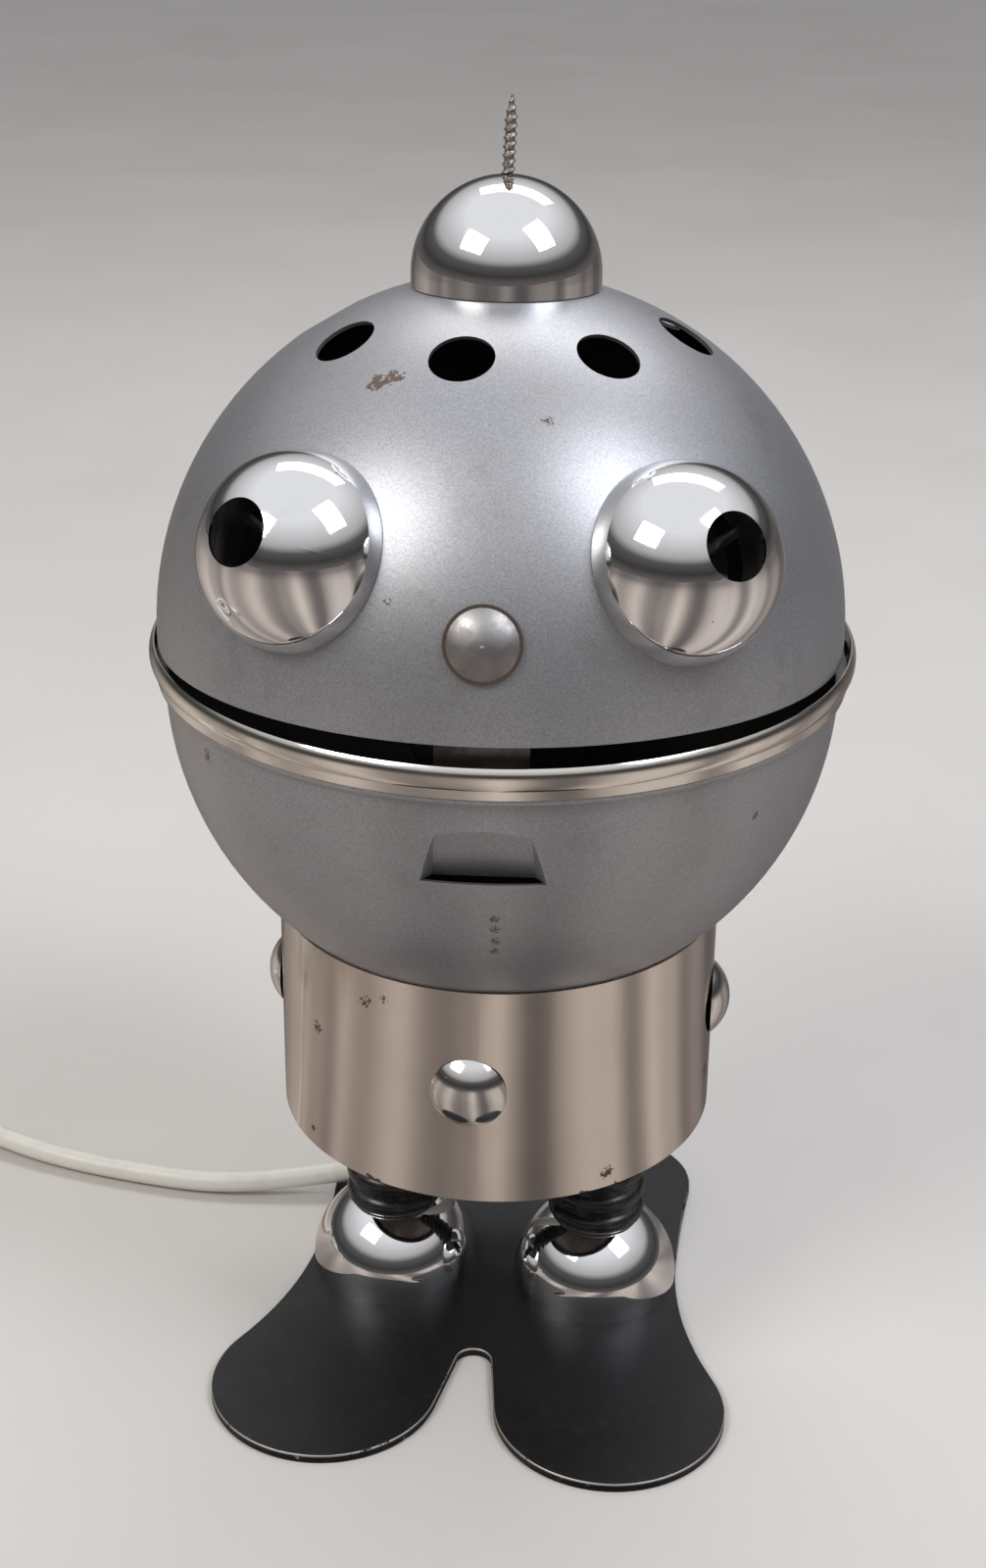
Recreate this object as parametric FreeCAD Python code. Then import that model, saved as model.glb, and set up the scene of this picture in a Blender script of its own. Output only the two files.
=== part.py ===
"""Robot shaped desk lamp: a ball head with a tilting upper half, on a drum body, two ringed legs and feet.

Millimetres, +Z up, origin on the table under the middle of the body. The toes point to -Y.
Each piece of the lamp is written to its own STEP file in parts/.
"""
import FreeCAD, Part
import math
import os

V = FreeCAD.Vector
X_AXIS = V(1, 0, 0)
Z_AXIS = V(0, 0, 1)

# Base plate
PLATE_T = 2.0
TOE_X, TOE_Y, TOE_R = 33.0, -49.5, 26.5
HEEL_X, HEEL_Y, HEEL_R = 27.0, 42.0, 19.5
WAIST_X, WAIST_Y = 45.0, 8.0
NOTCH_Y, NOTCH_R = -37.7, 4.2
PLATE_EDGE = 0.5

# Half ball caps, one pressing used five times
CAP_R = 20.0
CAP_SHEET = 0.6
ANKLE_SKIRT = 2.0
CROWN_SKIRT = 2.8
PUPIL_R = 6.7

# Legs
LEG_X = 25.0
LEG_R = 11.7
LEG_GROOVE = 1.3
LEG_RING_H = 6.0
LEG_BORE = 2.8
LEG_BOLT_R = 2.5
BOLT_HEAD_R = 5.0
BOLT_HEAD_H = 2.5
BOLT_SINK = 0.3

# Drum body
SLEEVE_R = 50.4
SLEEVE_WALL = 0.8
SLEEVE_Z = 55.7
PAN_Z = 62.0
PAN_WALL = 1.0
PAN_TOP = 94.0
PAN_FIT = 0.1
BUTTON_Z = 83.4
BUTTON_R = 8.4
BUTTON_RISE = 4.0
SHANK_R = 1.9

# Ball head
HEAD_TURN = 4.3
BALL_R = 74.0
BALL_SHEET = 0.8
BALL_Z = 163.2
RIM_Z = 2.0
RIM_OVERHANG = 1.6
RING_R = 77.2
RING_BAND_R = 75.9
RING_BAND_WALL = 0.6
RING_BAND_TOP = 4.4
RING_HIGH = 9.2
RING_THROAT = 75.95
RING_BEAD = 0.9

# Louvre pressed into the front of the bowl
LOUVRE_TOP = -5.4
LOUVRE_LOW = -18.0
LOUVRE_DEPTH = 4.0
LOUVRE_W_TOP = 19.0
LOUVRE_W_LOW = 20.6
LOUVRE_FLARE = 0.8

# Lid, in its own frame with the ball's centre at the origin
LID_R = 74.8
LID_BELOW = 3.2
LID_SEAT = 0.3
LID_OPEN = 4.0
LID_SIDE_PLAY = -0.45
VENT_COUNT = 8
VENT_R = 6.65
VENT_POLAR = 30.9
VENT_AZ = -10.2
EYE_AZ = 33.9
EYE_EL = 23.4
EYE_HOLE_R = 13.8
NOSE_EL = 12.9
NOSE_R = 7.0
NOSE_RISE = 2.4
NOSE_SEAT_R = 7.7
NOSE_SEAT_T = 0.5
TONGUE_W = 19.0
TONGUE_T = 0.6
TONGUE_TIP = -9.8

# Rear hinge, in the bowl's frame
HINGE_Y = 79.8
HINGE_Z = 12.0
HINGE_W = 20.0
KNUCKLE_R = 2.4
PIN_R = 1.25
PIN_FIT = 0.05
MID_KNUCKLE = 6.4
KNUCKLE_GAP = 1.1
LEAF_T = 0.8
RIVET_R = 1.2
RIVET_HEAD = 2.2
RIVET_X = 5.5

# Antenna screw
SCREW_R = 1.45
SCREW_OUT = 16.0
SCREW_HEAD_R = 3.2

# Lamp holder and bulb
TUBE_R = 5.0
TUBE_BORE = 3.9
TUBE_LOW = 57.0
TUBE_UP = 103.0
NUT_T = 3.5
TUBE_NUT_AF = 14.0
WASHER_T = 1.0
HOLDER_CAP_R = 13.0
HOLDER_CAP_H = 12.0
HOLDER_R = 14.0
HOLDER_H = 26.0
HOLDER_WALL = 1.8
SOCKET_R = 7.4
BULB_CAP_R = 6.9
BULB_CAP_H = 21.0
BULB_R = 22.5
BULB_UP = 27.0

# Cord, inline switch and plug
CORD_D = 5.4
CORD_LENGTH = 1800.0
CORD_ROUTE = [
    (0, 0, 62.0), (0, 0, 40.0), (-3, 9, 21.0), (-14.9, 25.8, 11.2), (-33.5, 31.4, 7.4), (-54, 27.0, 4.6),
    (-76, 23.3, 2.8), (-99.9, 25.6, 2.7), (-124, 30.4, 2.75), (-147, 38.6, 4.2), (-169, 44.0, 7.4),
    (-189, 45.5, 9.0), (-203, 46.55, 9.0),
]
BUSH_R = 7.0
BUSH_H = 5.0
SWITCH_L, SWITCH_W, SWITCH_H = 62.0, 25.0, 18.0
SWITCH_RELIEF = 9.0
ROCKER_L, ROCKER_W, ROCKER_H = 14.0, 9.0, 7.0
ROCKER_TILT = 7.0
TRUNNION_R, TRUNNION_L = 1.2, 1.8
CORD_GRIP = 14.0
COIL_CENTRE = (-275.0, -8.0)
COIL_MID_R = 30.3
COIL_PITCH = 5.95
COIL_HALF_TURNS = (3, 3, 3, 2)
PLUG_L, PLUG_W, PLUG_H = 36.0, 26.0, 13.6
PLUG_RELIEF = 14.0
PLUG_PIN_R, PLUG_PIN_L, PLUG_PIN_GAP = 2.0, 19.0, 18.6


def save(name, shape):
    """Write one node, as one solid or as a group of equal solids."""
    shape.exportStep("parts/" + name + ".step")


def solid_of(shape):
    """The one solid in a result of cuts and fusions."""
    if len(shape.Solids) != 1:
        raise ValueError("expected one solid, found %d" % len(shape.Solids))
    return shape.Solids[0]


def edges_of(points, closed=True):
    """Line edges through (r, z) points in the XZ plane; an arc is given as ('arc', via, end)."""
    edges = []
    at = points[0]
    for step in points[1:] + ([points[0]] if closed else []):
        if step[0] == "arc":
            via, end = step[1], step[2]
            edges.append(Part.Arc(V(at[0], 0, at[1]), V(via[0], 0, via[1]), V(end[0], 0, end[1])).toShape())
            at = end
        elif math.hypot(step[0] - at[0], step[1] - at[1]) > 1e-6:
            edges.append(Part.LineSegment(V(at[0], 0, at[1]), V(step[0], 0, step[1])).toShape())
            at = step
    return edges


def turned(points, angle=360.0, start=0.0):
    """A body of revolution about Z of a closed (r, z) outline."""
    face = Part.Face(Part.Wire(edges_of(points)))
    if start:
        face.rotate(V(), Z_AXIS, start)
    return face.revolve(V(), Z_AXIS, angle)


def tube(r_out, r_in, z0, z1):
    return Part.makeCylinder(r_out, z1 - z0, V(0, 0, z0)).cut(Part.makeCylinder(r_in, z1 - z0, V(0, 0, z0)))


def hex_nut(across_flats, bore, z0, height):
    """A hexagon nut lying flat, with its corners chamfered by a cone."""
    corner = across_flats / math.sqrt(3)
    ring = [V(corner * math.cos(math.radians(a)), corner * math.sin(math.radians(a)), z0) for a in range(0, 361, 60)]
    body = Part.Face(Part.makePolygon(ring)).extrude(V(0, 0, height))
    bevel = (corner - across_flats / 2) * 0.6
    cone = turned([(0, z0), (corner - bevel, z0), (corner, z0 + bevel), (corner, z0 + height - bevel),
                   (corner - bevel, z0 + height), (0, z0 + height)])
    return body.common(cone).cut(Part.makeCylinder(bore, height, V(0, 0, z0)))


def aimed(shape, azimuth, elevation):
    """Turn a shape built along +Z so that +Z points to an azimuth from the front and an elevation."""
    out = shape.copy()
    out.rotate(V(), X_AXIS, 90 - elevation)
    out.rotate(V(), Z_AXIS, azimuth)
    return out


def moved(shape, x=0.0, y=0.0, z=0.0):
    out = shape.copy()
    out.translate(V(x, y, z))
    return out


def on_sphere(radius, r):
    """Height over the centre at which a sphere has the radius r."""
    return math.sqrt(radius * radius - r * r)


def half_ball(skirt, hole, hole_low=0.0):
    """A pressed half ball cap on its rim at z = 0, with a hole in its crown."""
    inner = CAP_R - CAP_SHEET
    slope = math.sqrt(0.5)
    out_top = skirt + on_sphere(CAP_R, hole)
    in_top = skirt + on_sphere(inner, hole)
    outline = [(inner, 0), (CAP_R, 0), (CAP_R, skirt),
               ("arc", (CAP_R * slope, skirt + CAP_R * slope), (hole, out_top)), (hole, in_top),
               ("arc", (inner * slope, skirt + inner * slope), (inner, skirt))]
    return turned(outline)


# Feet and legs

def circle_touch(c1, r1, c2, r2):
    """The point where two circles touch from outside, on the line between their centres."""
    d = math.hypot(c2[0] - c1[0], c2[1] - c1[1])
    return (c1[0] + (c2[0] - c1[0]) * r1 / d, c1[1] + (c2[1] - c1[1]) * r1 / d)


def crossing_tangent(c1, r1, c2, r2):
    """Points on two circles of the straight tangent that passes between them."""
    dx, dy = c2[0] - c1[0], c2[1] - c1[1]
    d = math.hypot(dx, dy)
    angle = math.atan2(dy, dx) + math.acos((r1 + r2) / d)
    n = (math.cos(angle), math.sin(angle))
    return (c1[0] + r1 * n[0], c1[1] + r1 * n[1]), (c2[0] - r2 * n[0], c2[1] - r2 * n[1])


def waist_radius(circle_x, circle_y, radius):
    """Radius of the waist's arc that is upright at the waist and touches a lobe's circle."""
    across = WAIST_X - circle_x
    along = WAIST_Y - circle_y
    return (across * across + along * along - radius * radius) / (2 * (radius - across))


def arc_on(centre, radius, start, end, clockwise):
    """A circle's arc between two of its points, in the XY plane."""
    a0 = math.atan2(start[1] - centre[1], start[0] - centre[0])
    a1 = math.atan2(end[1] - centre[1], end[0] - centre[0])
    if clockwise and a1 > a0:
        a1 -= 2 * math.pi
    if not clockwise and a1 < a0:
        a1 += 2 * math.pi
    mid = (a0 + a1) / 2
    via = V(centre[0] + radius * math.cos(mid), centre[1] + radius * math.sin(mid), 0)
    return Part.Arc(V(start[0], start[1], 0), via, V(end[0], end[1], 0)).toShape()


def base_plate():
    toe, heel, notch = (TOE_X, TOE_Y), (HEEL_X, HEEL_Y), (0.0, NOTCH_Y)
    toe_waist = waist_radius(TOE_X, TOE_Y, TOE_R)
    heel_waist = waist_radius(HEEL_X, HEEL_Y, HEEL_R)
    waist = (WAIST_X, WAIST_Y)
    toe_centre = (WAIST_X + toe_waist, WAIST_Y)
    heel_centre = (WAIST_X + heel_waist, WAIST_Y)
    toe_out = circle_touch(toe, TOE_R, toe_centre, toe_waist)
    heel_out = circle_touch(heel, HEEL_R, heel_centre, heel_waist)
    notch_in, toe_in = crossing_tangent(notch, NOTCH_R, toe, TOE_R)
    right = [
        arc_on(notch, NOTCH_R, (0.0, NOTCH_Y + NOTCH_R), notch_in, True),
        Part.LineSegment(V(*notch_in, 0), V(*toe_in, 0)).toShape(),
        arc_on(toe, TOE_R, toe_in, toe_out, False),
        arc_on(toe_centre, toe_waist, toe_out, waist, True),
        arc_on(heel_centre, heel_waist, waist, heel_out, True),
        arc_on(heel, HEEL_R, heel_out, (HEEL_X, HEEL_Y + HEEL_R), False),
        Part.LineSegment(V(HEEL_X, HEEL_Y + HEEL_R, 0), V(0, HEEL_Y + HEEL_R, 0)).toShape(),
    ]
    left = [edge.mirror(V(), X_AXIS) for edge in right]
    outline = Part.Wire(Part.__sortEdges__(right + left))
    plate = Part.Face(outline).extrude(V(0, 0, PLATE_T))
    rim = [e for e in plate.Edges if abs(e.BoundBox.ZLength) < 1e-6 and e.BoundBox.ZMin > PLATE_T / 2]
    plate = plate.makeFillet(PLATE_EDGE, rim)
    for side in (-1, 1):
        plate = plate.cut(moved(bolt_shape(0.15, 0.1), side * LEG_X))
    return solid_of(plate)


def bolt_shape(spare=0.0, drop=0.0):
    """The long countersunk bolt of a leg, from under the plate to above the body's pan."""
    top = PAN_Z + PAN_WALL + WASHER_T + NUT_T + 3.0
    z0 = BOLT_SINK - drop * 3
    neck = BOLT_SINK + BOLT_HEAD_H
    return turned([(0, z0), (BOLT_HEAD_R + spare, z0), (BOLT_HEAD_R + spare, BOLT_SINK + 0.2),
                   (LEG_BOLT_R + spare, neck), (LEG_BOLT_R + spare, top), (0, top)])


def leg():
    """A stack of rounded rubber rings, cupped at the bottom to sit on the ankle cap."""
    low = PLATE_T + ANKLE_SKIRT + on_sphere(CAP_R, LEG_R)
    count = int(round((PAN_Z - low) / LEG_RING_H))
    step = (PAN_Z - low) / count
    points = [(LEG_BORE, low), (LEG_R - LEG_GROOVE, low)]
    for ring in range(count):
        z = low + ring * step
        groove = LEG_R - LEG_GROOVE
        points += [(groove, z + 0.12 * step), ("arc", (LEG_R, z + 0.5 * step), (groove, z + 0.88 * step)),
                   (groove, z + step)]
    points += [(LEG_BORE, PAN_Z)]
    crown = Part.makeSphere(CAP_R + 0.05, V(0, 0, PLATE_T + ANKLE_SKIRT))
    return solid_of(turned(points).cut(crown))


# Drum body

def ball_seat():
    """Height of the drum's top edge, where the ball rests on its inner corner."""
    return BALL_Z - on_sphere(BALL_R, SLEEVE_R - SLEEVE_WALL)


def sideways(shape, angle):
    """Turn a shape built along +Z to lie level and point to an angle from the front."""
    return aimed(shape, angle, 0)


def button_cutters(spare):
    out = []
    for quarter in range(4):
        shank = sideways(Part.makeCylinder(SHANK_R + spare, SLEEVE_R + 5, V()), 90 * quarter)
        out.append(moved(shank, z=BUTTON_Z))
    return out


def body_sleeve():
    sleeve = tube(SLEEVE_R, SLEEVE_R - SLEEVE_WALL, SLEEVE_Z, ball_seat())
    for cutter in button_cutters(0.1):
        sleeve = sleeve.cut(cutter)
    return solid_of(sleeve)


def body_pan():
    r = SLEEVE_R - SLEEVE_WALL - PAN_FIT
    floor = PAN_Z + PAN_WALL
    bend = 2.5
    inner = bend - PAN_WALL
    k = 1 - math.sqrt(0.5)
    outline = [(TUBE_R + 0.1, PAN_Z), (r - bend, PAN_Z), ("arc", (r - bend * k, PAN_Z + bend * k), (r, PAN_Z + bend)),
               (r, PAN_TOP), (r - PAN_WALL, PAN_TOP), (r - PAN_WALL, PAN_Z + bend),
               ("arc", (r - PAN_WALL - inner * k, floor + inner * k), (r - bend, floor)), (TUBE_R + 0.1, floor)]
    pan = turned(outline)
    for cutter in button_cutters(0.1):
        pan = pan.cut(cutter)
    for side in (-1, 1):
        pan = pan.cut(Part.makeCylinder(LEG_BOLT_R + 0.2, 10, V(side * LEG_X, 0, PAN_Z - 5)))
    return solid_of(pan)


def dome_button(radius, rise, shank_r, shank_l):
    """A domed stud along +Z: the head's flat at z = 0, the shank below it."""
    ball = (radius * radius + rise * rise) / (2 * rise)
    centre = rise - ball
    half = math.asin(radius / ball) / 2
    via = (ball * math.sin(half), centre + ball * math.cos(half))
    return turned([(0, -shank_l), (shank_r, -shank_l), (shank_r, 0), (radius, 0), ("arc", via, (0, rise))])


def body_button(quarter):
    inside = SLEEVE_WALL + PAN_FIT + PAN_WALL + 3.0
    stud = moved(dome_button(BUTTON_R, BUTTON_RISE, SHANK_R, inside), z=SLEEVE_R + 0.02)
    return moved(sideways(stud, 90 * quarter), z=BUTTON_Z)


def button_clip(quarter):
    """The push-on clip that holds a button inside the pan."""
    seat = SLEEVE_R - SLEEVE_WALL - PAN_FIT - PAN_WALL
    clip = turned([(SHANK_R + 0.02, seat - 1.4), (2.6, seat - 1.4), (5.0, seat - 0.6), (5.0, seat - 0.3),
                   (SHANK_R + 0.02, seat - 0.7)])
    return moved(sideways(clip, 90 * quarter), z=BUTTON_Z)


# Bowl, in a frame with the ball's centre at the origin

def in_head(shape):
    """Place a shape of the bowl's frame on the body, with the head's turn."""
    out = moved(shape, z=BALL_Z)
    out.rotate(V(), Z_AXIS, HEAD_TURN)
    return out


def louvre_pocket(grow):
    """The space of the louvre's pocket: its panel leans inward, its side walls flare outward."""
    face_y = -on_sphere(BALL_R, abs(LOUVRE_TOP))
    deep_y = -on_sphere(BALL_R, abs(LOUVRE_LOW)) + LOUVRE_DEPTH
    lean = (deep_y - face_y) / (LOUVRE_TOP - LOUVRE_LOW)
    rise = 5.0
    sections = []
    for z, half in ((LOUVRE_TOP + rise, LOUVRE_W_TOP / 2 - 0.3), (LOUVRE_LOW, LOUVRE_W_LOW / 2)):
        panel = face_y + lean * (LOUVRE_TOP - z) + grow
        outer = -BALL_R - 6.0
        inner_half = half + grow
        outer_half = inner_half + (panel - outer) * LOUVRE_FLARE
        corners = [(-outer_half, outer), (outer_half, outer), (inner_half, panel), (-inner_half, panel)]
        ring = [V(x, y, z) for x, y in corners + corners[:1]]
        sections.append(Part.makePolygon(ring))
    return Part.makeLoft(sections, True, True)


def bowl_rivet_places():
    """Azimuths and elevations of the hinge's rivets on the bowl."""
    spread = math.degrees(RIVET_X / BALL_R)
    return [(180 - spread, -8.0), (180 + spread, -8.0)]


def lower_bowl():
    inner = BALL_R - BALL_SHEET
    out_low = -on_sphere(BALL_R, TUBE_R + 0.1)
    in_low = -on_sphere(inner, TUBE_R + 0.1)
    slope = math.sqrt(0.5)
    rim_r = BALL_R + RIM_OVERHANG
    outline = [(TUBE_R + 0.1, out_low), ("arc", (BALL_R * slope, -BALL_R * slope), (BALL_R, 0)),
               (BALL_R, RIM_Z - BALL_SHEET), (rim_r, RIM_Z - BALL_SHEET), (rim_r, RIM_Z), (inner, RIM_Z),
               (inner, 0), ("arc", (inner * slope, -inner * slope), (TUBE_R + 0.1, in_low))]
    bowl = turned(outline)
    pocket = louvre_pocket(0.0)
    pressed = louvre_pocket(BALL_SHEET)
    walls = pressed.cut(pocket).common(Part.makeSphere(BALL_R))
    bowl = bowl.cut(pressed).fuse(walls)
    for azimuth, elevation in bowl_rivet_places():
        bowl = bowl.cut(aimed(Part.makeCylinder(RIVET_R + 0.05, BALL_R + 10), azimuth, elevation))
    return solid_of(bowl.removeSplitter())


def trim_ring():
    """A bright ring that stands on the bowl's rim: a plain band below, a rounded bead above."""
    low = RIM_Z + 0.02
    bead_r = RING_R - RING_BEAD
    return turned([(RING_BAND_R - RING_BAND_WALL, low), (RING_BAND_R - 0.3, low), (RING_BAND_R, low + 0.3),
                   (RING_BAND_R, RING_BAND_TOP), (bead_r, RING_BAND_TOP),
                   ("arc", (RING_R, (RING_BAND_TOP + RING_HIGH) / 2), (bead_r, RING_HIGH)),
                   (RING_THROAT, RING_HIGH), (RING_THROAT, RING_BAND_TOP + 0.8),
                   (RING_BAND_R - RING_BAND_WALL, RING_BAND_TOP)])


# Hinge

def along_x(shape, x0):
    """Turn a shape built along +Z to run along +X from x0, on the hinge's axis."""
    out = shape.copy()
    out.rotate(V(), V(0, 1, 0), 90)
    return moved(out, x0, HINGE_Y, HINGE_Z)


def knuckle(x0, x1, bore):
    return along_x(tube(KNUCKLE_R, bore, 0, x1 - x0), x0)


def rear_band(points, half_width, radius):
    """A sheet strip of a closed (r, z) outline, curved about Z, centred on the rear."""
    half = math.degrees(math.asin(half_width / radius))
    return turned(points, 2 * half, 90 - half)


def hinge_leaf_lower():
    """Runs down outside the ring, then follows the bowl, where it is riveted."""
    out_r = RING_R + 0.05
    low = math.radians(13.0)
    mid = math.radians(7.5)
    start = math.radians(3.5)
    r0, r1 = BALL_R + 0.03, BALL_R + 0.03 + LEAF_T
    points = [(out_r, HINGE_Z), (out_r, RIM_Z - 0.4), (r0 * math.cos(start), -r0 * math.sin(start)),
              ("arc", (r0 * math.cos(mid), -r0 * math.sin(mid)), (r0 * math.cos(low), -r0 * math.sin(low))),
              (r1 * math.cos(low), -r1 * math.sin(low)),
              ("arc", (r1 * math.cos(mid), -r1 * math.sin(mid)), (r1 * math.cos(start), -r1 * math.sin(start))),
              (out_r + LEAF_T, RIM_Z - 0.7), (out_r + LEAF_T, HINGE_Z)]
    leaf = rear_band(points, HINGE_W / 2, BALL_R)
    gap = MID_KNUCKLE / 2 + KNUCKLE_GAP
    bore = PIN_R + 0.02
    for x0, x1 in ((-HINGE_W / 2, -gap), (gap, HINGE_W / 2)):
        leaf = leaf.fuse(knuckle(x0, x1, 0.001 + bore))
    notch = along_x(Part.makeCylinder(KNUCKLE_R + 0.5, 2 * gap), -gap)
    leaf = leaf.cut(notch)
    leaf = leaf.cut(along_x(Part.makeCylinder(bore, HINGE_W + 8), -HINGE_W / 2 - 4))
    for azimuth, elevation in bowl_rivet_places():
        leaf = leaf.cut(aimed(Part.makeCylinder(RIVET_R + 0.05, BALL_R + 10), azimuth, elevation))
    return solid_of(leaf.removeSplitter())


def lid_centre_z():
    """Height of the closed lid's centre in the bowl's frame."""
    return RIM_Z + LID_SEAT + LID_BELOW


def lid_rivet_places():
    spread = math.degrees(RIVET_X / LID_R)
    return [(180 - spread, 14.0), (180 + spread, 14.0)]


def hinge_leaf_upper():
    """Built in the bowl's frame with the lid closed: follows the lid's outside, then reaches to the pin."""
    cz = lid_centre_z()
    r0, r1 = LID_R + 0.03, LID_R + 0.03 + LEAF_T
    low, mid, high = math.radians(7.5), math.radians(13.0), math.radians(19.0)

    def at(r, angle):
        return (r * math.cos(angle), cz + r * math.sin(angle))

    points = [at(r0, low), ("arc", at(r0, mid), at(r0, high)), at(r1, high),
              ("arc", at(r1, mid), at(r1, low + 0.035)), (HINGE_Y, HINGE_Z + KNUCKLE_R - 0.2),
              (HINGE_Y - 1.4, HINGE_Z + KNUCKLE_R - 1.0)]
    leaf = rear_band(points, HINGE_W / 2, LID_R)
    half = MID_KNUCKLE / 2
    side = HINGE_W / 2
    bore = PIN_R + PIN_FIT
    wing = HINGE_Z + KNUCKLE_R + 0.6
    for x0 in (-side - 2, half + 0.02):
        leaf = leaf.cut(Part.makeBox(side + 2 - half - 0.02, 12, 12, V(x0, HINGE_Y - 6, wing - 12)))
    leaf = leaf.fuse(knuckle(-half, half, bore))
    leaf = leaf.cut(along_x(Part.makeCylinder(bore, HINGE_W), -HINGE_W / 2))
    leaf = moved(leaf, LID_SIDE_PLAY)
    for azimuth, elevation in lid_rivet_places():
        hole = aimed(Part.makeCylinder(RIVET_R + 0.05, LID_R + 10), azimuth, elevation)
        leaf = leaf.cut(moved(hole, LID_SIDE_PLAY, 0, cz))
    return solid_of(leaf.removeSplitter())


def hinge_pin():
    half = HINGE_W / 2
    head = 0.8
    return along_x(turned([(0, -head), (PIN_R + 0.6, -head), (PIN_R + 0.6, 0), (PIN_R, 0), (PIN_R, 2 * half),
                           (PIN_R + 0.6, 2 * half), (PIN_R + 0.6, 2 * half + head), (0, 2 * half + head)]), -half)


def rivet(inner_r, outer_r):
    """A rivet along +Z through sheets between two radii, with a low dome at each end."""
    rise = 0.9
    outer = moved(dome_button(RIVET_HEAD, rise, RIVET_R, outer_r - inner_r), z=outer_r)
    inner = dome_button(RIVET_HEAD, rise, RIVET_R, 0.01)
    inner.rotate(V(), X_AXIS, 180)
    return solid_of(outer.fuse(moved(inner, z=inner_r)).removeSplitter())


# Lid, in its own frame with the ball's centre at the origin

def on_lid(shape):
    """Place a shape of the lid's frame on the closed lid, then open the lid to its rest angle."""
    return opened(moved(shape, LID_SIDE_PLAY, 0, lid_centre_z()))


def opened(shape):
    out = shape.copy()
    out.rotate(V(0, HINGE_Y, HINGE_Z), X_AXIS, -LID_OPEN)
    return in_head(out)


def lid_shell():
    inner = LID_R - BALL_SHEET
    slope = math.sqrt(0.5)
    hole = SCREW_R + 0.1
    out_edge = (on_sphere(LID_R, LID_BELOW), -LID_BELOW)
    in_edge = (on_sphere(inner, LID_BELOW), -LID_BELOW)
    outline = [(hole, on_sphere(LID_R, hole)), ("arc", (LID_R * slope, LID_R * slope), out_edge), in_edge,
               ("arc", (inner * slope, inner * slope), (hole, on_sphere(inner, hole)))]
    lid = turned(outline)
    reach = LID_R + 10
    for vent in range(VENT_COUNT):
        azimuth = VENT_AZ + 360.0 * vent / VENT_COUNT
        lid = lid.cut(aimed(Part.makeCylinder(VENT_R, reach), azimuth, 90 - VENT_POLAR))
    for side in (-1, 1):
        lid = lid.cut(aimed(Part.makeCylinder(EYE_HOLE_R, reach), side * EYE_AZ, EYE_EL))
    lid = lid.cut(aimed(Part.makeCylinder(SHANK_R + 0.1, reach), 0, NOSE_EL))
    for azimuth, elevation in lid_rivet_places():
        lid = lid.cut(aimed(Part.makeCylinder(RIVET_R + 0.05, reach), azimuth, elevation))
    return solid_of(lid)


def cap_seat():
    """Height over the lid's centre at which a cap's rim stands on the lid."""
    return on_sphere(LID_R, CAP_R - CAP_SHEET) + 0.05


def eye_cap(side):
    return aimed(moved(half_ball(0.3, PUPIL_R), z=cap_seat()), side * EYE_AZ, EYE_EL)


def eye_collar(side):
    """A flanged collar in the cap's mouth, with a neck that goes through the lid."""
    neck_out = EYE_HOLE_R - 0.3
    neck_in = neck_out - 0.8
    flange = on_sphere(LID_R, EYE_HOLE_R) + 0.6
    rim = cap_seat()
    reach = on_sphere(CAP_R - CAP_SHEET, flange + 0.8 - rim - 0.3) - 0.03
    low = on_sphere(LID_R - BALL_SHEET, EYE_HOLE_R + 3.0) - 2.2
    collar = turned([(neck_in, low), (neck_out, low), (neck_out, flange), (reach, flange), (reach, flange + 0.8),
                     (neck_in, flange + 0.8)])
    return aimed(collar, side * EYE_AZ, EYE_EL)


def eye_retainer(side):
    """The spring ring on the collar's neck inside the lid."""
    neck_out = EYE_HOLE_R - 0.3
    top = on_sphere(LID_R - BALL_SHEET, EYE_HOLE_R + 2.6) - 0.05
    return aimed(tube(neck_out + 2.8, neck_out + 0.02, top - 1.0, top), side * EYE_AZ, EYE_EL)


def nose_button():
    seat = LID_R + NOSE_SEAT_T + 0.02
    return aimed(moved(dome_button(NOSE_R, NOSE_RISE, SHANK_R, 6.0), z=seat), 0, NOSE_EL)


def nose_seat():
    return aimed(tube(NOSE_SEAT_R, SHANK_R + 0.05, LID_R + 0.01, LID_R + NOSE_SEAT_T), 0, NOSE_EL)


def nose_clip():
    top = LID_R - BALL_SHEET - TONGUE_T - 0.15
    return aimed(turned([(SHANK_R + 0.02, top - 1.2), (2.8, top - 1.2), (5.0, top - 0.5), (5.0, top - 0.1),
                         (SHANK_R + 0.02, top - 0.5)]), 0, NOSE_EL)


def latch_tongue():
    """A spring strip behind the nose that hangs below the lid's edge and grips inside the bowl."""
    r1 = LID_R - BALL_SHEET - 0.05
    r0 = r1 - TONGUE_T
    high, mid, low = math.radians(NOSE_EL + 7.0), math.radians(NOSE_EL), math.radians(4.0)
    tip_r = BALL_R - BALL_SHEET - 1.2

    def at(r, angle):
        return (r * math.cos(angle), r * math.sin(angle))

    points = [at(r0, high), at(r1, high), ("arc", at(r1, mid), at(r1, low)), (tip_r + 0.2, -LID_BELOW),
              (tip_r, TONGUE_TIP + 1.5), (tip_r - 1.0, TONGUE_TIP), (tip_r - 1.0 - TONGUE_T, TONGUE_TIP + 0.3),
              (tip_r - TONGUE_T, TONGUE_TIP + 1.5), (tip_r + 0.2 - TONGUE_T, -LID_BELOW),
              at(r0, low), ("arc", at(r0, mid), at(r0, high))]
    half = math.degrees(math.asin(TONGUE_W / 2 / r0))
    tongue = turned(points, 2 * half, -90 - half)
    return solid_of(tongue.cut(aimed(Part.makeCylinder(SHANK_R + 0.1, LID_R + 10), 0, NOSE_EL)))


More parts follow.
